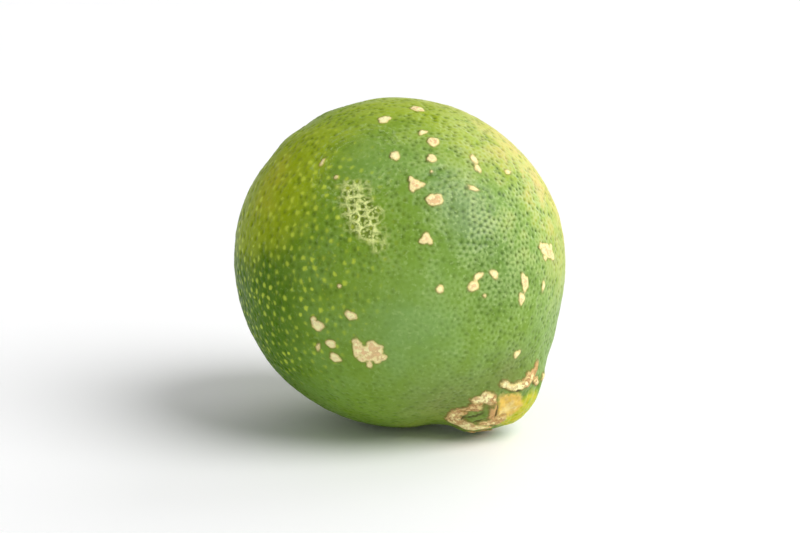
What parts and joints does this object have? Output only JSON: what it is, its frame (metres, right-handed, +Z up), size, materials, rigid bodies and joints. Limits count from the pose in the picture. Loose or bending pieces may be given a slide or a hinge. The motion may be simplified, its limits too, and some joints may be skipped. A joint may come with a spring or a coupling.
{
  "type": "rangpur lime",
  "caption": "Whole green rangpur lime: a nearly round fruit with a blunt nipple, pebbled rind and dried stem button, lying on its side.",
  "frame": {"origin": "on the surface that the fruit lies on, under the middle of its box", "axes": "+Z up. The nipple points to +X, a little to -Y, and 48 degrees down; the stem button is opposite it, up and to -X."},
  "size_m": [0.0554, 0.0552, 0.0546],
  "materials": {
    "rind": "satin",
    "stem_button": "matte"
  },
  "bodies": {
    "root": {"fruit": "rind", "calyx": "stem_button"}
  },
  "joints": []
}
